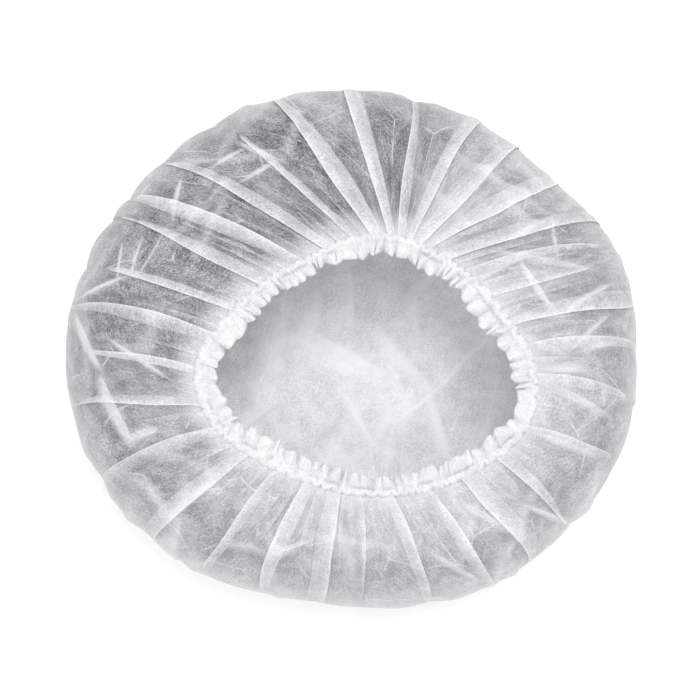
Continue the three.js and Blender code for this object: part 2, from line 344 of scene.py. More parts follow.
run_rows = ROW_EVENNESS * run_rows + (1 - ROW_EVENNESS) * run_rows**ROW_POWER

# Each row of the cloth: which bit of cloth each column is, where it lies round the puff, how high it stands
# over it, and how much the cloth lies folded on itself there
cloth_rows, lie_rows, lift_rows, layer_rows = [], [], [], []
lifts = np.where(pleat_side[:, None] > 0, LIFT_STEPS, LIFT_STEPS[::-1]) * pleat_height[:, None]
crispness = seeded.uniform(0.35, 1, len(pleats))[:, None] * (pleat_height == 1)[:, None]
layers_laid = np.array(SOFT_LAYERS) * (1 - crispness) + np.array(CRISP_LAYERS) * crispness
layers_laid *= np.where(pleat_height == 1, seeded.uniform(0.75, 1, len(pleats)), 0.5)[:, None]
layers_laid = np.where(pleat_side[:, None] > 0, layers_laid, layers_laid[:, ::-1])
closing_from = 0.88 - 0.35 * np.clip(pleat_ends / pleat_wide, 0, 1)
for run in run_rows:
    # The room between two folds here, and the cloth that has to lie in it
    ring = puff_point(np.linspace(0, FOLD_COUNT, FOLD_COUNT * 6 + 1), np.full(FOLD_COUNT * 6 + 1, run))
    cell = np.linalg.norm(np.diff(ring, axis=0), axis=1).reshape(FOLD_COUNT, 6).sum(1)
    cell = np.maximum(cell, 1e-5)[pleat_place.astype(int)]
    cloth_cell = max(math.pi * CUT_WIDTH * (1 - run) / FOLD_COUNT, 1e-5)

    # How much of each pleat is still folded, how wide it lies, and the room that its neighbours leave it
    gone = np.clip(run / pleat_closes, 0, 1)
    folded = 1 - smoothstep(gone, closing_from, 1.0)
    width = (pleat_wide + (pleat_ends - pleat_wide) * gone**1.3) * (0.6 + 0.4 * smoothstep(run, 0.0, 0.1))
    weight = 0.2 + width * folded / 0.01
    room_after = PLEAT_ROOM * gap_after * weight / (weight + np.roll(weight, -1))
    room_before = PLEAT_ROOM * gap_before * weight / (weight + np.roll(weight, 1))
    room = np.minimum(room_after, room_before)

    # A folded pleat holds three layers of cloth, and lets them out as it closes
    half_lie = np.minimum(width / 2 / cell, room)
    let_out = 1 - smoothstep(folded, 0.0, 0.5)
    half_lie = (1 - let_out) * half_lie + let_out * 0.5 * room
    half_cloth = np.minimum(half_lie * cell * (1 + 2 * folded) / cloth_cell, room)
    turn_lie = half_lie * (folded - (1 - folded) * PLEAT_TURN)
    rising = 0.8 + 0.2 * smoothstep(run, 0, 0.03)
    stands = rising * PLEAT_LIFT * (0.5 + 0.5 * smoothstep(width, 0.001, 0.006))
    doubled = smoothstep(folded, 0.4, 0.85) * smoothstep(width, 0.0002, 0.0015)

    # Each step of the pleat lies out to its turn, back under it, and out again
    steps = np.array(PLEAT_STEPS)
    cloth = pleat_place[:, None] + half_cloth[:, None] * steps
    before_turn = (steps + 1) / (1 - PLEAT_TURN)
    lie = np.where(
        steps < -PLEAT_TURN,
        -half_lie[:, None] + (turn_lie + half_lie)[:, None] * before_turn,
        np.where(
            steps > PLEAT_TURN,
            half_lie[:, None] - (turn_lie + half_lie)[:, None] * (1 - steps) / (1 - PLEAT_TURN),
            -turn_lie[:, None] * steps / PLEAT_TURN,
        ),
    )
    lie += pleat_place[:, None]
    height = lifts * (stands * folded)[:, None]

    # The flat cloth from this pleat to the next
    next_cloth = np.append(cloth[1:, 0], cloth[0, 0] + FOLD_COUNT)
    next_lie = np.append(lie[1:, 0], lie[0, 0] + FOLD_COUNT)
    next_height = np.roll(height[:, 0], -1)
    flats = np.array(FLAT_STEPS)
    cloth_flat = cloth[:, -1:] + flats * (next_cloth - cloth[:, -1])[:, None]
    lie_flat = lie[:, -1:] + flats * (next_lie - lie[:, -1])[:, None]
    height_flat = height[:, -1:] + flats * (next_height - height[:, -1])[:, None]
    layer = np.concatenate([layers_laid * doubled[:, None], np.zeros_like(lie_flat)], 1)
    cloth_rows.append(np.concatenate([cloth, cloth_flat], 1).ravel())
    lie_rows.append(np.concatenate([lie, lie_flat], 1).ravel())
    lift_rows.append(np.concatenate([height, height_flat], 1).ravel())
    layer_rows.append(layer.ravel())
cloth_at, lies_at, lift, layers_and_painted_light = map(np.array, (cloth_rows, lie_rows, lift_rows, layer_rows))

# The folds wander a little round the puff, and each point faces straight out of it
run_grid = np.repeat(run_rows[:, None], column_count, 1)
turn_grid = 2 * math.pi * lies_at / FOLD_COUNT
wander = 0.05 * np.sin(9 * turn_grid + 7 * run_grid) + 0.05 * np.sin(16 * turn_grid - 11 * run_grid + 1)
lies_at = lies_at + wander * smoothstep(run_grid, 0.03, 0.25)
base = puff_point(lies_at, run_grid)
round_step = puff_point(lies_at + 0.02, run_grid) - puff_point(lies_at - 0.02, run_grid)
further = np.minimum(run_grid + 0.004, 1)
nearer = np.maximum(run_grid - 0.004, 0)
down_step = puff_point(lies_at, further) - puff_point(lies_at, nearer)
facing = np.cross(down_step, round_step)
facing /= np.maximum(np.linalg.norm(facing, axis=-1, keepdims=True), 1e-12)

# The crests near the elastic and the creases that part the puffs at the outline
whole = np.floor(lies_at).astype(int)
share = lies_at - whole
cell_width = np.linalg.norm(puff_point(whole + 1.0, run_grid) - puff_point(whole + 0.0, run_grid), axis=-1)
ridge = np.zeros_like(lift)
outer_sag = seeded.uniform(0, 1, FOLD_COUNT) ** 2
for end, weight in ((0, 1 - share), (1, share)):
    fold = (whole + end) % FOLD_COUNT
    reach = 0.7 * fold_closes[fold] + 0.04
    crested = smoothstep(run_grid, 0, 0.1) * (1 - smoothstep(run_grid, 0.12, reach))
    depth = CREASE_DEPTH * (0.1 + 1.6 * outer_sag[fold])
    sunken = smoothstep(run_grid, 0.2, 0.36) * (1 - smoothstep(run_grid, 0.44, 0.6))
    ridge += weight * fold_crest[fold] * (CREST_DEPTH * crested - depth * sunken)
ridge *= cell_width * (2 / math.pi - np.sin(math.pi * share))

# Crumples: the folds that cross the flattened crown inside and the puff outside, listed one by one, then
# short straight creases that fall anywhere. Each has its middle, in metres; its heading, in degrees; half its
# length; the breadth of its soft side; its height; and how pale its crest shows.
BASE_FOLDS = [
    (0.027, -0.002, 133, 0.024, 0.008, 0.0035, 0.9),
    (0.043, -0.031, 105, 0.026, 0.007, 0.0035, 0.9),
    (0.033, 0.017, 91, 0.026, 0.004, 0.0020, 0.7),
    (0.022, -0.008, 102, 0.020, 0.005, 0.0025, 0.8),
    (-0.018, 0.017, 75, 0.026, 0.010, 0.0030, 0.6),
    (0.004, -0.032, 120, 0.022, 0.006, 0.0025, 0.8),
    (0.017, -0.036, 66, 0.015, 0.005, 0.0020, 0.8),
    (-0.041, -0.027, 126, 0.022, 0.007, 0.0025, 0.7),
    (0.066, -0.020, 0, 0.013, 0.003, 0.0015, 0.6),
    (-0.035, -0.004, 85, 0.030, 0.016, 0.0025, 0.6),
    (-0.002, 0.002, 150, 0.030, 0.014, 0.0020, 0.6),
]
PUFF_FOLDS = [
    (-0.109, -0.036, 117, 0.022, 0.0065, 0.0015, 0.8),
    (-0.097, -0.049, 19, 0.010, 0.0050, 0.0012, 0.7),
    (0.087, 0.022, 123, 0.019, 0.0038, 0.0014, 0.95),
    (0.070, 0.029, 26, 0.017, 0.0050, 0.0014, 0.8),
    (0.096, 0.046, 96, 0.015, 0.0018, 0.0010, 0.6),
    (0.087, 0.006, 5, 0.018, 0.0034, 0.0012, 0.8),
    (0.111, 0.016, 35, 0.018, 0.0034, 0.0012, 0.8),
    (-0.082, 0.065, 82, 0.013, 0.0030, 0.0010, 0.8),
    (-0.043, 0.087, 151, 0.014, 0.0030, 0.0010, 0.8),
    (-0.043, 0.076, 29, 0.014, 0.0030, 0.0010, 0.7),
    (-0.058, 0.084, 31, 0.010, 0.0028, 0.0010, 0.7),
    (-0.075, -0.080, 40, 0.020, 0.0040, 0.0012, 0.7),
    (0.062, -0.085, 150, 0.020, 0.0040, 0.0012, 0.6),
    (0.100, -0.052, 160, 0.018, 0.0040, 0.0012, 0.7),
    (-0.099, -0.012, 146, 0.022, 0.0026, 0.0012, 0.8),
    (-0.124, -0.002, 116, 0.020, 0.0048, 0.0014, 0.8),
    (-0.118, 0.023, 16, 0.016, 0.0028, 0.0012, 0.8),
    (-0.109, 0.034, 86, 0.013, 0.0018, 0.0008, 0.7),
    (-0.101, 0.036, 76, 0.013, 0.0018, 0.0008, 0.7),
    (0.093, -0.084, 164, 0.014, 0.0030, 0.0012, 0.8),
    (0.048, -0.108, 153, 0.017, 0.0030, 0.0012, 0.55),
    (-0.028, -0.101, 20, 0.014, 0.0026, 0.0010, 0.7),
    (0.084, 0.048, 31, 0.015, 0.0030, 0.0010, 0.6),
    (0.089, 0.035, 171, 0.032, 0.0040, 0.0010, 0.5),
    (0.089, -0.005, 152, 0.015, 0.0040, 0.0012, 0.7),
    (0.112, 0.000, 44, 0.016, 0.0026, 0.0010, 0.6),
    (0.113, -0.008, 16, 0.012, 0.0030, 0.0010, 0.5),
    (0.098, -0.019, 3, 0.015, 0.0060, 0.0012, 0.6),
    (0.105, -0.030, 153, 0.022, 0.0050, 0.0012, 0.65),
    (0.118, -0.028, 95, 0.007, 0.0020, 0.0008, 0.5),
    (-0.093, 0.038, 60, 0.016, 0.0018, 0.0008, 0.5),
]

# How many short creases fall on the flattened crown and on the puff
BASE_CREASES = 18
PUFF_CREASES = 90

# How pale a crossing fold's points show beside what its material draws, as a painted highlight on its crest;
# how far the sharp side of a crumple spreads; and how pale the painted highlight on the turned edge of a
# pleat is
PUFF_CREST_HIGHLIGHT_WHITE = 0.4
CRISP_EDGE = 0.0022
EDGE_HIGHLIGHT_WHITE = 0.7

crumples = [(*fold, True) for fold in BASE_FOLDS]
crumples += [(*fold[:6], PUFF_CREST_HIGHLIGHT_WHITE * fold[6], False) for fold in PUFF_FOLDS]
for _ in range(BASE_CREASES):
    place = seeded.uniform(-0.08, 0.08, 2)
    heading = math.degrees(seeded.normal(1.6, 0.5))
    size = (seeded.uniform(0.02, 0.05), seeded.uniform(0.004, 0.014), seeded.uniform(0.001, 0.003))
    crumples.append((*place, heading, *size, seeded.uniform(0.1, 0.5), True))
for _ in range(PUFF_CREASES):
    place = seeded.uniform(-0.13, 0.13, 2)
    heading = seeded.uniform(0, 180)
    size = (seeded.uniform(0.012, 0.04), seeded.uniform(0.003, 0.009), seeded.uniform(0.0005, 0.0018))
    crumples.append((*place, heading, *size, seeded.uniform(0.1, 0.5), False))
# The pleats' turned edges and the crumples' crests are painted paler as highlights, partly where the cloth
# laps double
painted_crest_highlights = np.zeros_like(lift)
turn_columns = np.arange(len(pleats)) * steps_per_pleat + np.where(pleat_side > 0, *TURN_STEPS)
painted_crest_highlights[:, turn_columns] = EDGE_HIGHLIGHT_WHITE * layers_and_painted_light[:, turn_columns]
for x, y, heading, long, broad, high, pale, on_base in crumples:
    turn = math.radians(heading)
    along = (base[..., 0] - x) * math.cos(turn) + (base[..., 1] - y) * math.sin(turn)
    across = (base[..., 1] - y) * math.cos(turn) - (base[..., 0] - x) * math.sin(turn)
    crest = np.clip(np.where(across > 0, 1 - across / broad, 1 + across / CRISP_EDGE), 0, 1)
    crest = crest * np.clip(1 - (along / long) ** 2, 0, 1)
    if on_base:
        crest = crest * smoothstep(run_grid, 0.55, 0.68)
    else:
        crest = crest * smoothstep(run_grid, 0.04, 0.12) * (1 - smoothstep(run_grid, 0.36, 0.5))
    painted_crest_highlights = np.maximum(painted_crest_highlights, pale * crest)
    ridge += high * crest

# The cloth between two long folds is doubled as far as the table of folds says, most near the elastic
facet_share = smoothstep(share, 0.25, 1.0)
doubled_here = fold_doubled[whole % FOLD_COUNT] * (1 - facet_share)
doubled_here = doubled_here + fold_doubled[(whole + 1) % FOLD_COUNT] * facet_share
near_elastic = 1 - smoothstep(run_grid, 0.04, 0.2)
layers_and_painted_light = layers_and_painted_light + (1 - layers_and_painted_light) * doubled_here * (0.55 + 0.45 * near_elastic)

# The folds stand out of the puff, and up from the flattened crown, where they are seen from inside
lies_under = smoothstep(run_grid, 0.5, 0.6)
facing = facing * (1 - 2 * lies_under)[..., None]
lies_flat = smoothstep(run_grid, 0.64, 0.72)[..., None]
facing = facing * (1 - lies_flat) + np.array([0, 0, 1]) * lies_flat
lift *= 1 - smoothstep(run_grid, 0.26, 0.36)
shape = base + facing * (ridge + lift)[..., None]
shape[..., 2] -= RIM_TUCK * (1 - smoothstep(run_grid, 0, 0.03))
shape[..., 2] = np.maximum(shape[..., 2], CLOTH_LEVEL)

# The flat disc is sewn shut at its seam and its middle first, while no two of its points lie together
crown = even_grid("crown", CLOTH_ROWS, column_count)
grid_row, grid_column = grid_places(crown, CLOTH_ROWS, column_count)
disc_turn = 2 * math.pi * grid_column / column_count
disc_reach = CUT_WIDTH / 2 * (1 - run_rows[grid_row])
disc = np.stack([np.cos(disc_turn) * disc_reach, np.sin(disc_turn) * disc_reach, 0 * disc_reach], -1)
move_points(crown, disc)
sew_shut(crown)
disc = points_of(crown)
row_of = np.abs(1 - np.hypot(disc[:, 0], disc[:, 1])[:, None] / (CUT_WIDTH / 2) - run_rows).argmin(1)
turn_of = np.arctan2(disc[:, 1], disc[:, 0])
column_of = np.rint(turn_of / (2 * math.pi) * column_count).astype(int) % column_count
move_points(crown, shape[row_of, column_of])

cloth_turn = 2 * math.pi * cloth_at[row_of, column_of] / FOLD_COUNT
cloth_reach = (1 - run_rows[row_of]) / 2
cut_plan = 0.5 + np.stack([np.cos(cloth_turn), np.sin(cloth_turn)], -1) * cloth_reach[:, None]
map_cut(crown, cut_plan)
mark_points(crown, "layers_and_painted_light", layers_and_painted_light[row_of, column_of])
mark_points(crown, "painted_crest_highlights", painted_crest_highlights[row_of, column_of])
mark_points(crown, "run", run_rows[row_of])

# The long folds keep a sharp edge where the cloth turns back on itself
edge_ends = np.zeros(len(crown.data.edges) * 2, int)
crown.data.edges.foreach_get("vertices", edge_ends)
edge_ends = edge_ends.reshape(-1, 2)
end_columns = column_of[edge_ends]
turns_back = np.isin(end_columns[:, 0] % steps_per_pleat, TURN_STEPS)
turns_back &= end_columns[:, 0] == end_columns[:, 1]
turns_back &= (layers_and_painted_light[row_of, column_of][edge_ends] > 0.3).all(1)
crown.data.attributes.new("sharp_edge", "BOOLEAN", "EDGE").data.foreach_set("value", turns_back)


def node(nodes, kind, **inputs):
    """A node with some of its sockets set by name."""
    made = nodes.new(kind)
    for name, value in inputs.items():
        made.inputs[name.replace("_", " ")].default_value = value
    return made


def blend(tree, kind, factor, first, second):
    """A colour mix of two outputs or plain colours, by an output or a number."""
    mixed = tree.nodes.new("ShaderNodeMix")
    mixed.data_type = "RGBA"
    mixed.blend_type = kind
    for name, value in (("Factor", factor), ("A", first), ("B", second)):
        colour_inputs = [each for each in mixed.inputs if each.name == name and each.enabled]
        if isinstance(value, bpy.types.NodeSocket):
            tree.links.new(value, colour_inputs[0])
        else:
            colour_inputs[0].default_value = value
    return [each for each in mixed.outputs if each.enabled][0]


def ramp(tree, source, *stops):
    """A colour ramp through (place, grey) stops, a little cold where it is dark."""
    made = tree.nodes.new("ShaderNodeValToRGB")
    stops = sorted(stops)
    while len(made.color_ramp.elements) < len(stops):
        made.color_ramp.elements.new(0.5)
    for element, (place, grey) in zip(made.color_ramp.elements, stops):
        element.position = place
        element.color = (grey, grey, grey + 0.025 * (1 - grey) + 0.004, 1)
    tree.links.new(source, made.inputs["Fac"])
    return made.outputs["Color"]


def calculate(tree, operation, first, second):
    """A value worked out from an output and another output or a number."""
    made = tree.nodes.new("ShaderNodeMath")
    made.operation = operation
    tree.links.new(first, made.inputs[0])
    if isinstance(second, bpy.types.NodeSocket):
        tree.links.new(second, made.inputs[1])
    else:
        made.inputs[1].default_value = second
    return made.outputs["Value"]


def carry(tree, source, start, end, low=0.0, high=1.0):
    """A value carried from one range into another and held at its ends."""
    ranged = node(tree.nodes, "ShaderNodeMapRange", From_Min=start, From_Max=end, To_Min=low, To_Max=high)
    tree.links.new(source, ranged.inputs["Value"])
    return ranged.outputs["Result"]


def point_mark(tree, name):
    """The value that the cloth's points are marked with."""
    mark = tree.nodes.new("ShaderNodeAttribute")
    mark.attribute_name = name
    return mark.outputs["Fac"]


def texture_at(tree, place, kind, **inputs):
    made = node(tree.nodes, kind, **inputs)
    tree.links.new(place, made.inputs["Vector"])
    return made


def laid_along(tree, place, turn, scale):
    """The cloth's places turned and stretched, for marks that run one way."""
    mapping = texture_at(tree, place, "ShaderNodeMapping", Rotation=(0, 0, turn), Scale=(*scale, 1))
    return mapping.outputs["Vector"]


def cloud(tree, place, scale, detail, roughness=0.5, distortion=0.0):
    """A noise value: patches of more and less, at a scale."""
    made = texture_at(
        tree,
        place,
        "ShaderNodeTexNoise",
        Scale=scale,
        Detail=detail,
        Roughness=roughness,
        Distortion=distortion,
    )
    return made.outputs["Fac"]


# The long fibres lie in three directions; how closely across and along; and how pale they are
STRAND_TURNS = (0.3, 1.4, 2.5)
STRAND_SCALE = (420, 38)
STRAND_WHITE = (0.62, 0.62, 0.62, 1)

# The crossing folds in the material: the level that they are centred on, and how far they fade out above and
# below it; their breadth as a share of the table's; and how pale they are
LAP_LEVEL = 0.065
LAP_BREADTH = 0.9
LAP_WHITE = 0.85


def fibre_web(tree, cut):
    """The web of pressed fibres as a value, with long fibres lying across it, and its pores alone."""
    patches = cloud(tree, cut, 48.0, 3.0, 0.6, 0.3)
    pores = cloud(tree, cut, 560.0, 2.0, 0.8, 0.8)
    fibres = cloud(tree, cut, 820.0, 2.0, 0.7, 3.0)
    web = blend(tree, "MIX", 0.5, pores, fibres)
    web = blend(tree, "MIX", 0.2, web, patches)
    for turn in STRAND_TURNS:
        laid = laid_along(tree, cut, turn, STRAND_SCALE)
        strands = cloud(tree, laid, 1.0, 1.0, distortion=0.9)
        off_middle = calculate(tree, "SUBTRACT", strands, 0.5)
        strand = carry(tree, calculate(tree, "ABSOLUTE", off_middle, 0), 0.0, 0.025, 0.4, 0.0)
        web = blend(tree, "MIX", strand, web, STRAND_WHITE)
    return web, pores


def old_folds(tree, place, scale, line_width, highlight_white, darkest):
    """Marks of old folding: the tone of each facet, the thin broken lines between them painted as highlights,
    and how far off.
    """
    facets = texture_at(tree, place, "ShaderNodeTexVoronoi", Scale=scale)
    facets.voronoi_dimensions = "2D"
    edges = texture_at(tree, place, "ShaderNodeTexVoronoi", Scale=scale)
    edges.voronoi_dimensions = "2D"
    edges.feature = "DISTANCE_TO_EDGE"
    broken = carry(tree, cloud(tree, place, 2 * scale, 1.0), 0.46, 0.58)
    line = carry(tree, edges.outputs["Distance"], 0.0, line_width, highlight_white, 0.0)
    line = calculate(tree, "MULTIPLY", line, broken)
    tone = ramp(tree, facets.outputs["Color"], (0.0, darkest), (1.0, 1.0))
    return tone, line, edges.outputs["Distance"]


def lapped_folds(tree, folds):
    """Where the cloth laps over itself in short folds, each sharp along its crest and soft on one side."""
    place = tree.nodes.new("ShaderNodeTexCoord").outputs["Object"]
    lapped = None
    for x, y, heading, long, broad, _, pale in folds:
        fold = texture_at(tree, place, "ShaderNodeMapping", Location=(x, y, LAP_LEVEL))
        fold.vector_type = "TEXTURE"
        fold.inputs["Rotation"].default_value = (0, 0, math.radians(heading))
        fold.inputs["Scale"].default_value = (long, LAP_BREADTH * broad, LAP_LEVEL)
        spindle = texture_at(tree, fold.outputs["Vector"], "ShaderNodeTexGradient")
        spindle.gradient_type = "SPHERICAL"
        across = texture_at(tree, fold.outputs["Vector"], "ShaderNodeSeparateXYZ").outputs["Y"]
        sharp = carry(tree, across, -0.12, 0.0)
        spread = carry(tree, spindle.outputs["Fac"], 0.0, 0.4, 0.0, LAP_WHITE * pale)
        shown = calculate(tree, "MULTIPLY", spread, sharp)
        lapped = shown if lapped is None else calculate(tree, "MAXIMUM", lapped, shown)
    return lapped


# The whites of the painted highlights along old creases, along turned edges and crests, and along creases
# where the cloth lies on the table, and of the light that comes through the cloth
CREASE_HIGHLIGHT_WHITE = (0.86, 0.86, 0.87, 1)
PAINTED_HIGHLIGHT_WHITE = (0.98, 0.98, 0.985, 1)
FLAT_CREASE_HIGHLIGHT_WHITE = (0.99, 0.99, 0.99, 1)
THROUGH_WHITE = (0.95, 0.95, 0.96, 1)


def spunbond(name, through_share, thin_white, dense_white, folds=()):
    """Nonwoven cloth: a web of pressed fibres with pores, denser and whiter where it lies folded, painted
    grey with the shade of the inside where one layer lies alone, and with painted highlights along its
    creases and turned edges.

    It takes the share of light that goes through, how white folded cloth is where the web is thin and where
    it is dense, and the crossing folds to draw on it.
    """
    finish = bpy.data.materials.new(name)
    finish.use_nodes = True
    tree = finish.node_tree
    surface = tree.nodes["Principled BSDF"]
    surface.inputs["Roughness"].default_value = 0.8
    surface.inputs["Specular IOR Level"].default_value = 0.25
    cut_map = tree.nodes.new("ShaderNodeUVMap")
    cut_map.uv_map = "cut"
    cut = cut_map.outputs["UV"]
    web, pores = fibre_web(tree, cut)

    # One layer over the dark inside, painted dark grey with the shade of the inside showing through it; one
    # that curves away at the side, painted paler with less of that shade; folded layers; and one on the table
    single_with_painted_shade = ramp(tree, web, (0.43, 0.01), (0.5, 0.12), (0.57, 0.6))
    sheer = ramp(tree, web, (0.4, 0.56), (0.6, 0.84))
    double = ramp(tree, web, (0.4, thin_white), (0.58, dense_white))
    laid_flat = ramp(tree, web, (0.42, 0.6), (0.58, 1.0))

    # The puff's facets, and the longer ones of the flattened crown
    facet_tone, crease_highlight, _ = old_folds(tree, cut, 13.0, 0.02, 0.6, 0.78)
    flat_place = laid_along(tree, cut, 0.3, (14, 4.5))
    flat_tone, flat_crease_highlight, from_crease = old_folds(tree, flat_place, 1.0, 0.02, 0.7, 0.86)
    # Painted light on the flattened crown: each facet lighter beside its crease, fading a short way from it
    painted_light_by_crease = carry(tree, from_crease, 0.0, 0.16, 0.3, 0.0)
    laid_flat = blend(tree, "MULTIPLY", 1.0, laid_flat, flat_tone)
    laid_flat = blend(tree, "MIX", painted_light_by_crease, laid_flat, PAINTED_HIGHLIGHT_WHITE)
    # Painted highlights along the thin crease lines of the flattened crown
    laid_flat = blend(tree, "MIX", flat_crease_highlight, laid_flat, FLAT_CREASE_HIGHLIGHT_WHITE)

    # From the elastic out, down the side and over the flattened crown, with the folds over all of them
    run = point_mark(tree, "run")
    colour = blend(tree, "MULTIPLY", 1.0, single_with_painted_shade, facet_tone)
    colour = blend(tree, "MIX", carry(tree, run, 0.2, 0.36), colour, sheer)
    # Painted highlights along the thin crease lines between the puff's facets
    colour = blend(tree, "MIX", crease_highlight, colour, CREASE_HIGHLIGHT_WHITE)
    if folds:
        colour = blend(tree, "MIX", lapped_folds(tree, folds), colour, double)
    # The layers mark: folded cloth, with a painted highlight peaking at each pleat's turned edge, and on the
    # hem the painted shade of its hollows
    colour = blend(tree, "MIX", point_mark(tree, "layers_and_painted_light"), colour, double)
    colour = blend(tree, "MIX", carry(tree, run, 0.0, 0.045, 1.0, 0.0), colour, double)
    colour = blend(tree, "MIX", carry(tree, run, 0.48, 0.6), colour, laid_flat)
    # Painted highlights along the pleats' turned edges and the crumples' crests, partly where the cloth laps
    # double
    colour = blend(tree, "MIX", point_mark(tree, "painted_crest_highlights"), colour, PAINTED_HIGHLIGHT_WHITE)
    tree.links.new(colour, surface.inputs["Base Color"])

    relief = node(tree.nodes, "ShaderNodeBump", Strength=0.35, Distance=0.0005)
    tree.links.new(pores, relief.inputs["Height"])
    tree.links.new(relief.outputs["Normal"], surface.inputs["Normal"])
    through = tree.nodes.new("ShaderNodeBsdfTranslucent")
    tree.links.new(blend(tree, "MIX", 0.35, colour, THROUGH_WHITE), through.inputs["Color"])
    cloth_mix = node(tree.nodes, "ShaderNodeMixShader", Fac=through_share)
    tree.links.new(surface.outputs["BSDF"], cloth_mix.inputs[1])
    tree.links.new(through.outputs["BSDF"], cloth_mix.inputs[2])
    tree.links.new(cloth_mix.outputs["Shader"], tree.nodes["Material Output"].inputs["Surface"])
    return finish


crown.data.materials.append(spunbond("spunbond_cloth", 0.42, 0.57, 0.93, PUFF_FOLDS))
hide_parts("crown_shell")
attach(crown, "root")


# The hem: the sheet's edge folded double and stitched into a casing round the elastic, one closed band of
# soft cloth. The elastic draws it up in plump uneven ruffles, and its free edge is scalloped all round.

# The ruffles round the opening, and the steps of the mesh in each
RUFFLE_COUNT = 78
RUFFLE_STEPS = 16

# The hem's width and its swell over the elastic, in metres; how high its ruffles stand; how deep the notches
# between them cut into its free edge and into the casing; and how far they lean and shift
HEM_WIDTH = 0.0094
HEM_SWELL = 0.0013
RUFFLE_HEIGHT = 0.0017
RUFFLE_SCALLOP = 0.0027
CASING_SCALLOP = 0.0016
RUFFLE_LEAN = 0.0019
RUFFLE_SHIFT = 0.0012

# The fine wrinkles across the ruffles: how many waves make them and how high they stand
WRINKLE_WAVES = 14
WRINKLE_HEIGHT = 0.0007

# The length of cloth that the hem's fibres are laid out on, drawn up into one round of the opening
HEM_TEXTURE_RUN = 0.65

# The hem's section, from the casing's outer edge over the top to the free edge and back underneath: the
# share of the hem's width, counted from the elastic, and the share of its swell above the elastic's level
HEM_SECTION = [
    (-0.3, -0.75),
    (-0.23, 0.45),
    (-0.02, 1.3),
    (0.12, 1.1),
    (0.24, 0.45),
    (0.38, 0.7),
    (0.62, 1.0),
    (0.85, 0.85),
    (1.0, 0.1),
    (0.9, -0.75),
    (0.62, -0.9),
    (0.3, -0.8),
    (0.0, -1.2),
    (-0.16, -0.8),
]

ruffle_widths = seeded.uniform(0.45, 1.55, RUFFLE_COUNT)
ruffle_turns = np.append(0, np.cumsum(ruffle_widths)) / ruffle_widths.sum() * 360
ruffle_middles = (ruffle_turns[:-1] + ruffle_turns[1:]) / 2
ruffle_sizes = seeded.uniform(0.35, 1.3, RUFFLE_COUNT)
ruffle_leans = seeded.uniform(-1, 1, RUFFLE_COUNT)
ruffle_lifts = seeded.uniform(-1, 1, RUFFLE_COUNT)
ruffle_sides = seeded.uniform(0, 1, RUFFLE_COUNT)
notch_depths = seeded.uniform(0.25, 0.9, RUFFLE_COUNT)
hem_columns = RUFFLE_COUNT * RUFFLE_STEPS
HEM_ROWS = 2 * len(HEM_SECTION) + 1


def hem_width(degrees):
    """How far the hem reaches in from the elastic, a little uneven round the opening."""
    turn = np.radians(degrees)
    uneven = 1 + 0.1 * np.sin(2 * turn + 0.7) + 0.08 * np.sin(5 * turn) + 0.07 * np.sin(11 * turn + 2)
    return HEM_WIDTH * uneven


# Where each point of the hem is: in which ruffle, how far across it, and where on the section
hem = even_grid("hem", HEM_ROWS, hem_columns)
hem_row, hem_column = grid_places(hem, HEM_ROWS, hem_columns)
hem_column = hem_column % hem_columns
ruffle = hem_column // RUFFLE_STEPS
ruffle_share = (hem_column % RUFFLE_STEPS) / RUFFLE_STEPS
hem_turn = ruffle_turns[ruffle] + ruffle_share * (ruffle_turns[ruffle + 1] - ruffle_turns[ruffle])
section_turn = hem_row / (HEM_ROWS - 1) * 360
section_in = around([row[0] for row in HEM_SECTION], section_turn)
section_up = around([row[1] for row in HEM_SECTION], section_turn)

# Each ruffle is plump in its middle, and the notches on its two sides are of different depths
free = smoothstep(section_in, 0.05, 1.0)
plump = np.sin(math.pi * ruffle_share) ** (0.6 + 0.4 * ruffle_sides[ruffle])
next_notch = notch_depths[(ruffle + 1) % RUFFLE_COUNT]
notch = np.where(ruffle_share < 0.5, notch_depths[ruffle], next_notch)
plump = 1 - (1 - plump) * notch
size_here = np.interp(hem_turn, ruffle_middles, ruffle_sizes, period=360)
lift_here = np.interp(hem_turn, ruffle_middles, ruffle_lifts, period=360)
casing = smoothstep(-section_in, -0.1, 0.2)
casing_lump = 1 - (1 - np.abs(np.cos(math.pi * ruffle_share)) ** 0.6) * notch
lump = plump * (1 - casing) + casing_lump * casing

wrinkled = np.zeros_like(hem_turn)
for _ in range(WRINKLE_WAVES):
    cycles = seeded.integers(50, 170)
    slant = seeded.uniform(-14, 14)
    wrinkled += np.sin(np.radians(cycles * hem_turn) + slant * section_in + seeded.uniform(0, 6.3))
wrinkled = (1 - np.abs(wrinkled / 2.2).clip(0, 1)) * WRINKLE_HEIGHT

# In from the elastic, along it and up
inward = -outward(hem_turn)
onward = np.stack([inward[:, 1], -inward[:, 0]], -1)
pulled = RUFFLE_SCALLOP * (1 - np.sin(math.pi * ruffle_share)) * notch * free
hem_reach = section_in * hem_width(hem_turn) - pulled + RUFFLE_SHIFT * lift_here * free
hem_reach += CASING_SCALLOP * (1 - casing_lump) * casing
lean_here = np.interp(hem_turn, ruffle_middles, ruffle_leans, period=360)
lean = RUFFLE_LEAN * free * (lean_here + 0.7 * ruffle_leans[ruffle] * np.sin(math.pi * ruffle_share))
hem_plan = opening(hem_turn) + inward * hem_reach[:, None] + onward * lean[:, None]
hem_level = elastic_height(hem_turn) + HEM_SWELL * section_up * (0.5 + 0.5 * lump)
hem_level += free * (RUFFLE_HEIGHT * size_here * (2 * plump - 1.1) + RUFFLE_SHIFT * lift_here)
hem_level += wrinkled * np.sign(section_up) * (0.6 + 0.4 * free)
move_points(hem, np.concatenate([hem_plan, hem_level[:, None]], 1))

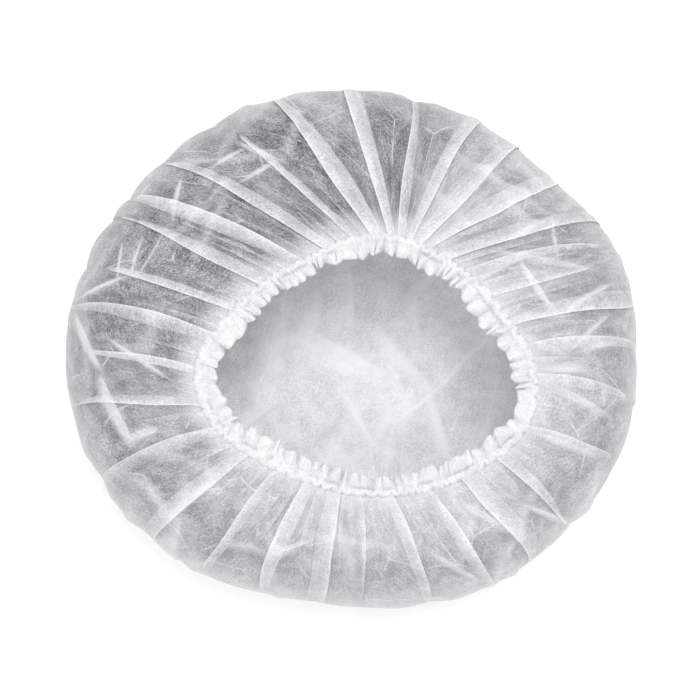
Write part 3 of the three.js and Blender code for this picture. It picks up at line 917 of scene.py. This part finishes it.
# The hem's painted shade: greyer in its notches, in the troughs of its wrinkles and in the groove that the
# elastic pulls into it, where shade falls
hem_along = hem_turn / 360 * HEM_TEXTURE_RUN / CUT_WIDTH
hem_across = hem_row / (HEM_ROWS - 1) * 2 * HEM_WIDTH / CUT_WIDTH
map_cut(hem, np.stack([hem_along, hem_across], -1))
groove = np.exp(-(((section_in - 0.24) / 0.07) ** 2)) * (section_up > 0) * np.clip(2.2 * lift_here, 0, 1)
shade = np.clip(0.45 * (1 - lump) + 0.25 * (1 - wrinkled / WRINKLE_HEIGHT) + 0.85 * groove, 0, 1)
# The painted shade goes into the same mark as the crown's folded layers, as its lack
mark_points(hem, "layers_and_painted_light", 1 - shade)
mark_points(hem, "run", 0.3 + 0 * hem_turn)
sew_shut(hem)
hem.data.materials.append(spunbond("double_spunbond_cloth", 0.3, 0.68, 0.9))
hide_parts("hem_ruffle")
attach(hem, "root")


# The elastic: a narrow covered rubber band, one closed loop that lies in the hem's casing. Its cover is
# finely ribbed where the rubber has drawn it in.

ELASTIC_THICKNESS = 0.0014

# The points round its section, the ribs round the loop, the steps of the mesh in each, and their depth as a
# share of the section
ELASTIC_ROWS = 13
ELASTIC_RIBS = 220
RIB_STEPS = 6
RIB_DEPTH = 0.16

elastic = even_grid("elastic", ELASTIC_ROWS, ELASTIC_RIBS * RIB_STEPS)
elastic_row, elastic_column = grid_places(elastic, ELASTIC_ROWS, ELASTIC_RIBS * RIB_STEPS)
elastic_turn = elastic_column / (ELASTIC_RIBS * RIB_STEPS) * 360 % 360
elastic_loop = 2 * math.pi * elastic_row / (ELASTIC_ROWS - 1)
rib = 1 - RIB_DEPTH * (1 - np.cos(np.radians(elastic_turn * ELASTIC_RIBS))) / 2
elastic_out = ELASTIC_WIDTH / 2 * np.cos(elastic_loop) * rib
elastic_up = ELASTIC_THICKNESS / 2 * np.sin(elastic_loop) * rib
elastic_plan = opening(elastic_turn) - outward(elastic_turn) * elastic_out[:, None]
elastic_rise = elastic_height(elastic_turn) + elastic_up
move_points(elastic, np.concatenate([elastic_plan, elastic_rise[:, None]], 1))
sew_shut(elastic)

covered_elastic = bpy.data.materials.new("covered_elastic")
covered_elastic.use_nodes = True
cover_tree = covered_elastic.node_tree
cover_surface = cover_tree.nodes["Principled BSDF"]
cover_surface.inputs["Roughness"].default_value = 0.7
cover_place = cover_tree.nodes.new("ShaderNodeTexCoord").outputs["Object"]
cover_threads = cloud(cover_tree, cover_place, 900.0, 3.0)
cover_colour = ramp(cover_tree, cover_threads, (0.3, 0.74), (0.7, 0.9))
cover_tree.links.new(cover_colour, cover_surface.inputs["Base Color"])
elastic.data.materials.append(covered_elastic)
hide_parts("elastic_band")
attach(elastic, "root")


# The light and the view: a bright even room, a broad soft lamp from behind the cap, a weaker one from its
# front, and a camera almost straight above it.

ROOM_BRIGHTNESS = 0.96

room = bpy.data.worlds.new("room")
room.use_nodes = True
room.node_tree.nodes["Background"].inputs["Color"].default_value = (1, 1, 1, 1)
room.node_tree.nodes["Background"].inputs["Strength"].default_value = ROOM_BRIGHTNESS
bpy.context.scene.world = room
bpy.context.scene.view_settings.view_transform = "Standard"


def soft_lamp(name, place, aim, size, power):
    """A round soft lamp: where it stands and what it is turned to, its width in metres and its watts."""
    lamp = bpy.data.lights.new(name, "AREA")
    lamp.shape = "DISK"
    lamp.size = size
    lamp.energy = power
    stand = bpy.data.objects.new(name, lamp)
    stand.location = place
    stand.rotation_euler = (Vector(aim) - Vector(place)).to_track_quat("-Z", "Y").to_euler()
    bpy.context.scene.collection.objects.link(stand)


soft_lamp("key_lamp", (0.2, 0.34, 1.4), (0, 0, 0.04), 0.8, 12)
soft_lamp("fill_lamp", (-0.4, -0.7, 1.3), (0, 0, 0.04), 1.0, 4)

# The camera's elevation and half its angle of view, in degrees; how far it stands off; and what it looks at
CAMERA_ELEVATION = 82
CAMERA_HALF_ANGLE = 8.0
CAMERA_DISTANCE = 1.2
CAMERA_TARGET = (-0.0005, -0.003, 0.04)
SENSOR_WIDTH = 36
camera = bpy.data.objects.new("camera", bpy.data.cameras.new("camera"))
tilt = math.radians(CAMERA_ELEVATION)
camera.location = Vector(CAMERA_TARGET) + CAMERA_DISTANCE * Vector((0, -math.cos(tilt), math.sin(tilt)))
camera.rotation_euler = (math.radians(90 - CAMERA_ELEVATION), 0, 0)
camera.data.sensor_width = SENSOR_WIDTH
camera.data.lens = SENSOR_WIDTH / 2 / math.tan(math.radians(CAMERA_HALF_ANGLE))
bpy.context.scene.collection.objects.link(camera)
bpy.context.scene.camera = camera

bpy.context.view_layer.update()
